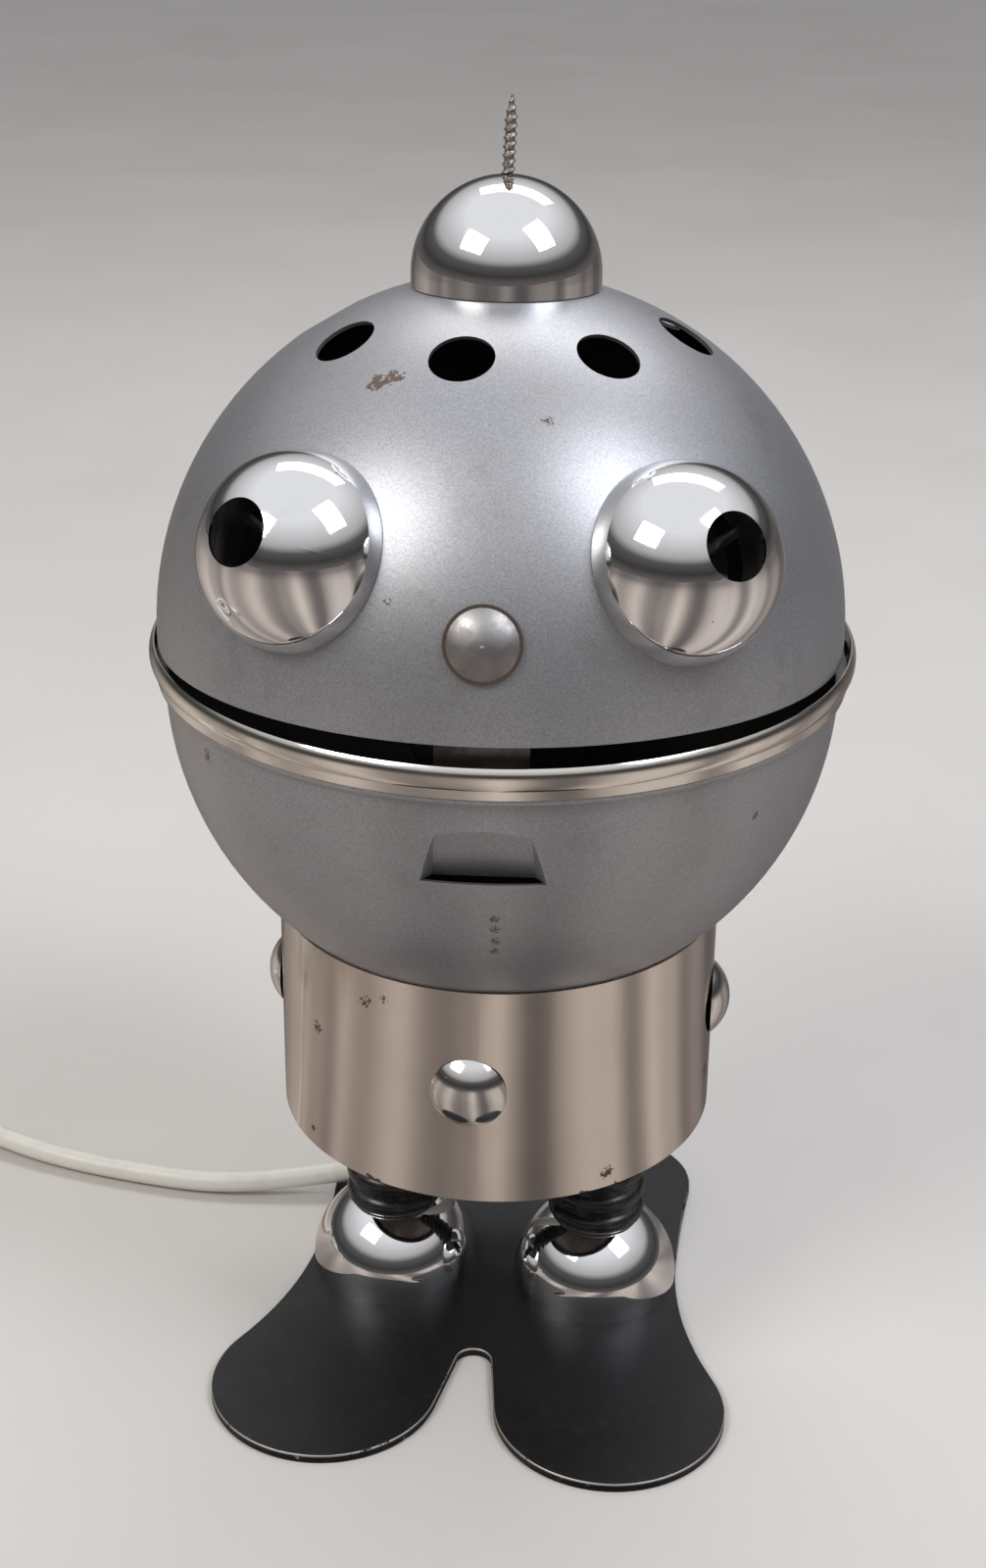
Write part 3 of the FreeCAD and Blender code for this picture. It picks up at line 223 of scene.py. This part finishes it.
def silver_paint(name, centre, chips, patina=0.0):
    n = Nodes(name)
    flake = n.noise(2600.0, 2.0, 0.6)
    cloud = n.noise(22.0, 3.0, 0.5)
    grime = n.ramp(n.noise(60.0, 5.0, 0.7), 0.56, 0.80)
    base = n.mix(n.ramp(flake, 0.38, 0.62), (0.300, 0.302, 0.322), (0.395, 0.398, 0.420))
    base = n.mix(n.ramp(cloud, 0.42, 0.75, 0.0, 0.28 + patina), base, (0.33, 0.305, 0.275))
    base = n.mix(n.math("MULTIPLY", grime, 0.30), base, (0.16, 0.135, 0.11))
    dots = n.math("LESS_THAN", n.cells(170.0), 0.055)
    dots = n.math("MULTIPLY", dots, n.math("GREATER_THAN", n.noise(35.0), 0.70))
    chip = n.any_of([dots] + [n.spot(*c) for c in chips])
    base = n.mix(chip, base, (0.115, 0.075, 0.055))
    # Faces that look in towards the centre (the inside of the shell) are painted near-black, dull and barely
    # metallic: painted shade for the dark inside of the head
    inside_shade = n.inside_of(centre)
    base = n.mix(inside_shade, base, (0.05, 0.048, 0.045))
    rough = n.ramp(n.noise(9.0, 4.0), 0.3, 0.7, 0.36, 0.45)
    dull = n.math("MULTIPLY", n.math("MAXIMUM", chip, inside_shade), 0.75)
    n.set(base_color=base, roughness=n.math("MAXIMUM", rough, dull))
    n.set(metallic=n.ramp(n.math("MAXIMUM", chip, inside_shade), 0.0, 1.0, 0.72, 0.1))
    n.bump(n.math("SUBTRACT", n.math("MULTIPLY", flake, 0.25), n.math("MULTIPLY", chip, 1.0)), 0.20, 0.0002)
    return n.mat


def bright_metal(name, colour, rough, tarnish=(0.30, 0.22, 0.15), much=0.25, scale=45.0, spots=(), wave=0.0):
    n = Nodes(name)
    smear = n.noise(scale, 6.0, 0.65, distortion=0.6)
    film = n.ramp(smear, 0.58, 0.82, 0.0, much)
    base = n.mix(film, colour, tarnish)
    pits = n.math("LESS_THAN", n.cells(260.0), 0.07)
    pits = n.math("MULTIPLY", pits, n.math("GREATER_THAN", n.noise(48.0, 2.0), 0.70))
    rust = n.any_of([pits] + [n.spot(*s) for s in spots])
    base = n.mix(rust, base, (0.07, 0.045, 0.03))
    haze = n.ramp(n.noise(130.0, 4.0), 0.4, 0.8, rough, rough + 0.08)
    n.set(base_color=base, roughness=n.math("MAXIMUM", haze, n.math("MULTIPLY", rust, 0.7)))
    n.set(metallic=n.ramp(rust, 0.0, 1.0, 1.0, 0.2))
    height = n.math("SUBTRACT", n.math("MULTIPLY", n.noise(28.0, 2.0), wave), n.math("MULTIPLY", rust, 0.5))
    n.bump(height, 0.25, 0.0004)
    return n.mat


def sleeve_metal(spots):
    """Polished nickel drum: faint upright drawing lines, a few freckles of rust and a warm film."""
    n = Nodes("sleeve_nickel")
    lines = n.noise(1.0, 4.0, 0.6, at=n.place((700.0, 700.0, 9.0)))
    film = n.ramp(n.noise(18.0, 5.0, 0.6, distortion=0.4), 0.45, 0.75, 0.0, 0.45)
    base = n.mix(film, (0.70, 0.645, 0.60), (0.52, 0.43, 0.365))
    freckle = n.math("LESS_THAN", n.cells(150.0), 0.06)
    freckle = n.math("MULTIPLY", freckle, n.math("GREATER_THAN", n.noise(38.0, 3.0), 0.68))
    low = n.ramp(n.axis(2), (SLEEVE_LOW + 6.3) * MM, SLEEVE_LOW * MM, 0.0, 0.27)
    edge_rust = n.math("GREATER_THAN", n.math("ADD", n.noise(140.0, 4.0), low), 0.88)
    rust = n.any_of([freckle, edge_rust] + [n.spot(*s) for s in spots])
    base = n.mix(rust, base, (0.085, 0.045, 0.025))
    rough = n.ramp(n.noise(70.0, 4.0), 0.35, 0.75, 0.10, 0.17)
    n.set(base_color=base, roughness=n.math("MAXIMUM", rough, n.math("MULTIPLY", rust, 0.75)))
    n.set(metallic=n.ramp(rust, 0.0, 1.0, 1.0, 0.15))
    n.bump(n.math("SUBTRACT", n.math("MULTIPLY", lines, 0.22), n.math("MULTIPLY", rust, 0.6)), 0.10, 0.0003)
    return n.mat


def plate_paint():
    """Black satin lacquer, rubbed to bare metal along the edge, with dust and fine scratches."""
    n = Nodes("plate_black")
    dust = n.ramp(n.noise(420.0, 4.0, 0.7), 0.52, 0.75, 0.0, 0.35)
    base = n.mix(dust, (0.006, 0.006, 0.007), (0.030, 0.028, 0.026))
    up = n.axis(2, n.coords.outputs["Normal"])
    rim = n.math("MULTIPLY", n.ramp(up, 0.92, 0.80), n.ramp(up, -0.15, 0.1))
    worn = n.math("GREATER_THAN", n.math("ADD", n.math("MULTIPLY", rim, 0.62), n.noise(160.0, 4.0, 0.7)), 1.02)
    scratch = n.math("GREATER_THAN", n.noise(1.0, 2.0, at=n.place((90.0, 1500.0, 90.0))), 0.80)
    base = n.mix(worn, base, (0.42, 0.39, 0.36))
    base = n.mix(n.math("MULTIPLY", scratch, 0.4), base, (0.12, 0.12, 0.12))
    n.set(base_color=base, metallic=n.ramp(worn, 0.0, 1.0, 0.0, 0.9))
    n.set(roughness=n.ramp(n.noise(55.0, 5.0), 0.3, 0.7, 0.40, 0.54), specular_ior_level=0.32)
    n.bump(n.noise(900.0, 3.0), 0.06, 0.0002)
    return n.mat


def black_rubber():
    n = Nodes("leg_black")
    dust = n.ramp(n.noise(260.0, 5.0, 0.7), 0.50, 0.78, 0.0, 0.4)
    n.set(base_color=n.mix(dust, (0.010, 0.010, 0.011), (0.075, 0.07, 0.065)))
    n.set(roughness=n.ramp(dust, 0.0, 0.4, 0.26, 0.5), specular_ior_level=0.5)
    n.bump(n.noise(1200.0, 3.0), 0.10, 0.0002)
    return n.mat


def moulded(name, colour, dirt, rough=0.38, grime=0.35):
    n = Nodes(name)
    film = n.ramp(n.noise(120.0, 5.0, 0.7), 0.50, 0.78, 0.0, grime)
    n.set(base_color=n.mix(film, colour, dirt), roughness=n.ramp(n.noise(300.0, 3.0), 0.3, 0.7, rough, rough + 0.12))
    n.set(subsurface_weight=0.0, specular_ior_level=0.5)
    n.bump(n.noise(1500.0, 2.0), 0.08, 0.00015)
    return n.mat


def plain_metal(name, colour, rough, stain, scale=150.0, much=0.5):
    n = Nodes(name)
    film = n.ramp(n.noise(scale, 5.0, 0.7), 0.48, 0.75, 0.0, much)
    n.set(base_color=n.mix(film, colour, stain), metallic=1.0, roughness=n.ramp(film, 0.0, much, rough, rough + 0.25))
    n.bump(n.noise(1100.0, 3.0), 0.12, 0.0002)
    return n.mat


def rusty_zinc():
    n = Nodes("screw_zinc")
    rust = n.ramp(n.noise(620.0, 5.0, 0.7), 0.47, 0.66)
    n.set(base_color=n.mix(rust, (0.30, 0.275, 0.25), (0.09, 0.06, 0.04)), metallic=n.ramp(rust, 0, 1, 1.0, 0.35))
    n.set(roughness=n.ramp(rust, 0, 1, 0.30, 0.75))
    n.bump(rust, 0.3, 0.0002)
    return n.mat


def bulb_material():
    n = Nodes("bulb_glass")
    film = n.ramp(n.noise(90.0, 4.0), 0.45, 0.8, 0.02, 0.12)
    n.set(base_color=(0.93, 0.93, 0.92), roughness=film, transmission_weight=1.0, ior=1.45)
    n.bump(n.noise(30.0, 2.0), 0.05, 0.0003)
    return n.mat


head = head_matrix()
lid = lid_matrix()
lid_centre = lid @ Vector((0, 0, 0))
bowl_centre = head @ Vector((0, 0, 0))

chip_lid = [(on_ball(lid, LID_R, -30.0, 52.5), 0.0036, 0.7, 700.0, 0.52),
            (on_ball(lid, LID_R, -26.5, 54.0), 0.0026, 0.75, 900.0, 0.56),
            (on_ball(lid, LID_R, 12.0, 47.0), 0.0016, 0.8, 1200.0, 0.65),
            (on_ball(lid, LID_R, -15.0, 18.0), 0.0012, 0.8, 1200.0, 0.7)]
chip_bowl = [(on_ball(head, BOWL_R, 2.0, -z), 0.0015, 0.8, 1500.0, 0.62) for z in (21.5, 24.0, 27.0, 30.0)]
chip_bowl += [(on_ball(head, BOWL_R, -52.0, -3.0), 0.0022, 0.8, 1100.0, 0.62),
              (on_ball(head, BOWL_R, 48.0, -9.0), 0.0013, 0.8, 1100.0, 0.62)]
spots_sleeve = [(Vector((-0.0235, -0.0446, 0.1010)), 0.0022, 0.8, 1400.0, 0.64),
                (Vector((-0.0190, -0.0467, 0.1030)), 0.0016, 0.8, 1400.0, 0.64),
                (Vector((-0.0360, -0.0353, 0.0880)), 0.0022, 0.8, 1200.0, 0.62),
                (Vector((0.0300, -0.0405, 0.0595)), 0.0022, 0.8, 1200.0, 0.62),
                (Vector((0.0498, -0.0080, 0.0680)), 0.0030, 0.6, 900.0, 0.5),
                (Vector((-0.0380, -0.0331, 0.0600)), 0.0012, 0.2, 900.0, 0.4)]

chrome = bright_metal("chrome_cap", (0.83, 0.83, 0.84), 0.025, much=0.22, wave=0.0)
nickel = bright_metal("ring_nickel", (0.80, 0.77, 0.72), 0.09, (0.36, 0.26, 0.18), 0.55, 30.0, wave=0.3)
stud = bright_metal("stud_chrome", (0.74, 0.73, 0.72), 0.07, much=0.4, scale=160.0, wave=1.0)
steel = plain_metal("plain_steel", (0.52, 0.51, 0.50), 0.30, (0.22, 0.17, 0.13))
dress(silver_paint("lid_silver", lid_centre, chip_lid), "lid_shell")
dress(silver_paint("bowl_silver", bowl_centre, chip_bowl, 0.1), "lower_bowl")
dress(chrome, "crown_cap", "eye_cap_left", "eye_cap_right", "ankle_cap_left", "ankle_cap_right")
dress(stud, "body_button_front", "body_button_left", "body_button_right", "body_button_back")
dress(nickel, "trim_ring")
dress(sleeve_metal(spots_sleeve), "body_sleeve")
dress(plate_paint(), "base_plate")
dress(black_rubber(), "leg_left", "leg_right")
dress(steel, "leg_bolt_left", "leg_bolt_right", "leg_washers", "leg_nuts", "button_clips", "hinge_leaf_lower",
      "hinge_leaf_upper", "hinge_pin", "hinge_rivets_lower", "hinge_rivets_upper", "tube_washers",
      "eye_retainer_left", "eye_retainer_right", "nose_clip", "screw_washer")
dress(plain_metal("spring_strip", (0.17, 0.16, 0.15), 0.38, (0.06, 0.045, 0.035), 120.0, 0.8), "latch_tongue")
dress(plain_metal("dark_steel", (0.20, 0.19, 0.185), 0.42, (0.07, 0.06, 0.05)), "body_pan", "eye_collar_left",
      "eye_collar_right")
dress(plain_metal("nose_rim", (0.17, 0.13, 0.11), 0.45, (0.05, 0.035, 0.03), 500.0, 0.8), "nose_seat")
dress(plain_metal("nose_metal", (0.33, 0.32, 0.32), 0.42, (0.20, 0.17, 0.145), 260.0, 0.6), "nose_button")
dress(plain_metal("old_brass", (0.62, 0.46, 0.22), 0.28, (0.28, 0.18, 0.08)), "centre_tube", "tube_nuts",
      "holder_socket", "holder_contact")
dress(plain_metal("pin_brass", (0.75, 0.66, 0.44), 0.22, (0.35, 0.26, 0.14)), "plug_pins")
dress(plain_metal("bulb_cap_metal", (0.70, 0.70, 0.69), 0.28, (0.35, 0.33, 0.30)), "bulb_cap")
dress(moulded("holder_black", (0.018, 0.016, 0.015), (0.08, 0.07, 0.06), 0.24), "holder_base", "holder_body")
dress(bulb_material(), "bulb_glass")
cream = moulded("cord_cream", (0.72, 0.695, 0.63), (0.47, 0.42, 0.34), 0.36, 0.4)
shell = moulded("switch_cream", (0.74, 0.715, 0.65), (0.48, 0.43, 0.35), 0.30, 0.3)
dress(cream, "cord_bush")
dress(shell, "switch_base", "switch_cover", "switch_rocker", "plug_body")


# Pieces

def piece(name, mesh, material, body):
    obj = bpy.data.objects.new(name, mesh)
    bpy.context.scene.collection.objects.link(obj)
    if not obj.data.materials:
        obj.data.materials.append(material)
    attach(obj, body)
    return obj


def grid_mesh(name, rows, matrix, close_ends=True):
    """A tube-like mesh through rings of points, in a frame that the matrix takes to the row frame."""
    bm = bmesh.new()
    rings = [[bm.verts.new(matrix @ Vector(p)) for p in ring] for ring in rows]
    count = len(rings[0])
    for low, high in zip(rings, rings[1:]):
        for i in range(count):
            j = (i + 1) % count
            bm.faces.new((low[i], low[j], high[j], high[i]))
    if close_ends:
        bm.faces.new(list(reversed(rings[0])))
        bm.faces.new(rings[-1])
    bmesh.ops.recalc_face_normals(bm, faces=bm.faces)
    mesh = bpy.data.meshes.new(name)
    bm.to_mesh(mesh)
    bm.free()
    for face in mesh.polygons:
        face.use_smooth = True
    return mesh


def screw_mesh():
    """A wood screw, point up, with a helical thread that runs out under the tip."""
    around, steps = 28, 260
    shank = ((3.1, 70.9), (3.1, 71.2), (1.45, SCREW_SEAT + 0.2), (1.45, SCREW_BARE - 0.2))
    rows = [[(r * math.cos(2 * math.pi * k / around), r * math.sin(2 * math.pi * k / around), z)
             for k in range(around)] for r, z in shank]
    for i in range(steps + 1):
        z = SCREW_BARE + (SCREW_TIP - SCREW_BARE) * i / steps
        taper = min(1.0, (SCREW_TIP - z) / SCREW_TAPER)
        ring = []
        for k in range(around):
            angle = 2 * math.pi * k / around
            phase = ((z - SCREW_BARE) / SCREW_PITCH - k / around) % 1.0
            tooth = max(0.0, 1.0 - abs(phase - 0.5) * 3.4)
            r = max(0.07, (SCREW_CORE + (SCREW_R - SCREW_CORE) * tooth) * (0.16 + 0.84 * taper))
            ring.append((r * math.cos(angle), r * math.sin(angle), z))
        rows.append(ring)
    lean = (Matrix.Translation((0, 0, 95.0)) @ Matrix.Rotation(SCREW_LEAN, 4, "Y")
            @ Matrix.Translation((0, 0, -95.0)))
    return grid_mesh("antenna_thread", rows, lid @ lean)


screw = piece("antenna_thread", screw_mesh(), rusty_zinc(), "lid")
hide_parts("antenna_screw")


def strip_mesh(name, matrix, length, width, thick, bow):
    """A thin sprung strip, bowed along its length, with rounded section corners."""
    rows = []
    for i in range(17):
        t = i / 16 * 2 - 1
        x = t * length / 2
        z = bow * (1 - t * t)
        w = width / 2
        h = thick / 2
        rows.append([(x, -w, z - h * 0.6), (x, -w, z + h * 0.6), (x, -w * 0.92, z + h), (x, w * 0.92, z + h),
                     (x, w, z + h * 0.6), (x, w, z - h * 0.6), (x, w * 0.92, z - h), (x, -w * 0.92, z - h)])
    return grid_mesh(name, rows, matrix)


for side, word in ((-1, "right_side"), (1, "left_side")):
    seat = (lid @ aim(side * EYE_AZ, EYE_EL) @ Matrix.Translation((0, 0, EYE_STRAP_SEAT))
            @ Matrix.Rotation(math.radians(EYE_STRAP_TURN * side), 4, "Z"))
    piece("eye_strap_" + word, strip_mesh("eye_strap_" + word, seat, 28.0, 2.4, 0.45, 1.5), steel, "lid")


# Cord

def cord_curve(name, points, body):
    curve = bpy.data.curves.new(name, "CURVE")
    curve.dimensions = "3D"
    curve.bevel_depth = CORD_D / 2 * MM
    curve.bevel_resolution = 6
    curve.resolution_u = 10
    curve.use_fill_caps = True
    spline = curve.splines.new("NURBS")
    spline.points.add(len(points) - 1)
    for point, (x, y, z) in zip(spline.points, points):
        point.co = (x * MM, y * MM, z * MM, 1.0)
    spline.order_u = 3
    spline.use_endpoint_u = True
    return piece(name, curve, cream, body)


def coil_turns(centre, mid_radius, pitch, halves_by_layer, steps=8):
    """The coil's turns as the source has them: half turns that spiral in and out, with a climb between layers."""
    points = []
    x = radius = mid_radius + pitch / 2
    z = CORD_D / 2
    side = 1
    outward = 1.02
    for layer, halves in enumerate(halves_by_layer):
        inward = -1 if layer % 2 == 0 else 1
        climbs = 1 if layer < len(halves_by_layer) - 1 else 0
        for half in range(halves + climbs):
            climbing = half == halves
            middle = x - side * radius
            for k in range(steps):
                angle = math.pi * k / steps
                rise = pitch * k / steps if climbing else 0.0
                points.append((centre[0] - middle - side * outward * radius * math.cos(angle),
                               centre[1] - side * outward * radius * math.sin(angle), z + rise))
            x -= side * 2 * radius
            side = -side
            if climbing:
                z += pitch
                radius -= inward * pitch / 2
            else:
                radius += inward * pitch / 2
    return points


FREE = [(0, 0, 62.0), (0, 0, 40.0), (-3, 9, 21.0), (-14.9, 25.8, 11.2), (-33.5, 31.4, 7.4), (-54, 27.0, 4.6),
        (-76, 23.3, 2.8), (-99.9, 25.6, 2.7), (-124, 30.4, 2.75), (-147, 38.6, 4.2), (-169, 44.0, 7.4),
        (-189, 45.5, 9.0), (-203, 46.55, 9.0)]
LEAD = [(-254.85, 50.44, 9.0), (-288.76, 52.98, 9.0), (-308.28, 34.98, 4.6), (-308.28, 9.4, 2.7),
        (-308.28, -2.6, 2.7)]
TAIL = [(-302.33, -13.4, 20.55), (-302.33, -33.4, 20.55), (-299.33, -51.4, 14.05), (-284.83, -66.4, 6.8),
        (-264.83, -71.4, 6.8)]

free = cord_curve("cord_seen", FREE, "stand")
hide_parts("cord_free")
turns = coil_turns(COIL_CENTRE, COIL_MID_R, COIL_PITCH, COIL_HALF_TURNS)
rest = cord_curve("cord_put_away", LEAD + turns + TAIL, "stand")
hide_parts("cord_lead", "cord_coil", "cord_tail")


# Camera, as the photograph was taken

def camera():
    turn = Matrix.Rotation(BODY_TURN, 3, "Z")
    yaw, pitch, roll = CAMERA_YAW, CAMERA_PITCH, CAMERA_ROLL
    ahead = Vector((math.sin(yaw) * math.cos(pitch), math.cos(yaw) * math.cos(pitch), -math.sin(pitch)))
    right = ahead.cross(Vector((0, 0, 1))).normalized()
    up = right.cross(ahead)
    right2 = math.cos(roll) * right + math.sin(roll) * up
    up2 = -math.sin(roll) * right + math.cos(roll) * up
    place = turn @ (Vector((0, -CAMERA_BACK, CAMERA_UP + BALL_Z)) * MM)
    columns = [turn @ v for v in (right2, up2, -ahead)]
    data = bpy.data.cameras.new("camera")
    data.sensor_fit = "VERTICAL"
    data.sensor_height = SENSOR
    data.lens = FOCAL_PER_HEIGHT * SENSOR
    data.clip_start = 0.01
    obj = bpy.data.objects.new("camera", data)
    bpy.context.scene.collection.objects.link(obj)
    matrix = Matrix((columns[0], columns[1], columns[2])).transposed().to_4x4()
    matrix.translation = place
    obj.matrix_world = matrix
    bpy.context.scene.camera = obj


# Studio

def floor():
    n = Nodes("floor_pale")
    base = n.mix(n.ramp(n.noise(6.0, 4.0), 0.35, 0.7), (0.63, 0.60, 0.565), (0.59, 0.56, 0.525))
    outward = n.tree.nodes.new("ShaderNodeVectorMath")
    outward.operation = "NORMALIZE"
    n.put(outward.inputs[0], n.coords.outputs["Object"])
    streak = n.ramp(n.noise(1.9, 1.0, 0.5, at=outward.outputs[0]), 0.34, 0.66)
    mirrored = n.mix(streak, (0.105, 0.085, 0.075), (0.62, 0.53, 0.46))
    rays = n.tree.nodes.new("ShaderNodeLightPath")
    n.set(base_color=n.mix(rays.outputs["Is Glossy Ray"], base, mirrored), roughness=0.62)
    bm = bmesh.new()
    bmesh.ops.create_circle(bm, cap_ends=True, radius=FLOOR_R, segments=96)
    mesh = bpy.data.meshes.new("floor")
    bm.to_mesh(mesh)
    bm.free()
    obj = bpy.data.objects.new("floor", mesh)
    obj.location = (0, 0, -0.0002)
    bpy.context.scene.collection.objects.link(obj)
    mesh.materials.append(n.mat)


def lamp(name, where, size, watts, colour=(1, 1, 1), target=(0, 0, 0.15)):
    data = bpy.data.lights.new(name, "AREA")
    data.shape = "RECTANGLE"
    data.size, data.size_y = size
    data.energy = watts
    data.color = colour
    obj = bpy.data.objects.new(name, data)
    bpy.context.scene.collection.objects.link(obj)
    obj.location = where
    obj.rotation_euler = (Vector(target) - Vector(where)).to_track_quat("-Z", "Y").to_euler()


def world():
    w = bpy.data.worlds.new("studio")
    bpy.context.scene.world = w
    w.use_nodes = True
    tree = w.node_tree
    tree.nodes.clear()
    new, link = tree.nodes.new, tree.links.new
    out = new("ShaderNodeOutputWorld")
    path = new("ShaderNodeLightPath")
    coords = new("ShaderNodeTexCoord")
    split = new("ShaderNodeSeparateXYZ")
    link(coords.outputs["Generated"], split.inputs[0])
    ramp = new("ShaderNodeValToRGB")
    link(split.outputs[2], ramp.inputs[0])
    ramp.color_ramp.elements[0].position = 0.0
    ramp.color_ramp.elements[0].color = (0.11, 0.10, 0.095, 1)
    ramp.color_ramp.elements[1].position = 0.80
    ramp.color_ramp.elements[1].color = (0.86, 0.87, 0.90, 1)
    for position, grey in ((0.12, 0.045), (0.30, 0.10), (0.42, 0.46)):
        step = ramp.color_ramp.elements.new(position)
        step.color = (grey, grey * 0.98, grey * 0.97, 1)
    shiny = new("ShaderNodeBackground")
    link(ramp.outputs[0], shiny.inputs[0])
    shiny.inputs[1].default_value = 1.0
    soft = new("ShaderNodeBackground")
    soft.inputs[0].default_value = (0.93, 0.95, 1.0, 1)
    soft.inputs[1].default_value = 0.42
    pale = new("ShaderNodeBackground")
    pale.inputs[0].default_value = (0.72, 0.70, 0.68, 1)
    pale.inputs[1].default_value = 1.0
    gloss = new("ShaderNodeMixShader")
    link(path.outputs["Is Glossy Ray"], gloss.inputs[0])
    link(soft.outputs[0], gloss.inputs[1])
    link(shiny.outputs[0], gloss.inputs[2])
    seen = new("ShaderNodeMath")
    seen.operation = "MAXIMUM"
    link(path.outputs["Is Camera Ray"], seen.inputs[0])
    link(path.outputs["Is Transmission Ray"], seen.inputs[1])
    last = new("ShaderNodeMixShader")
    link(seen.outputs[0], last.inputs[0])
    link(gloss.outputs[0], last.inputs[1])
    link(pale.outputs[0], last.inputs[2])
    link(last.outputs[0], out.inputs[0])


camera()
floor()
world()
lamp("key_left", (-0.75, -0.75, 1.15), (0.7, 0.5), 10.0, (1.0, 0.97, 0.93))
lamp("key_right", (0.80, -0.35, 1.20), (0.55, 0.7), 9.5, (0.88, 0.93, 1.0))
lamp("top_back", (0.05, 0.75, 1.25), (1.1, 0.35), 6.0, (0.96, 0.97, 1.0))

bpy.context.scene.view_settings.view_transform = "Standard"
bpy.context.view_layer.update()
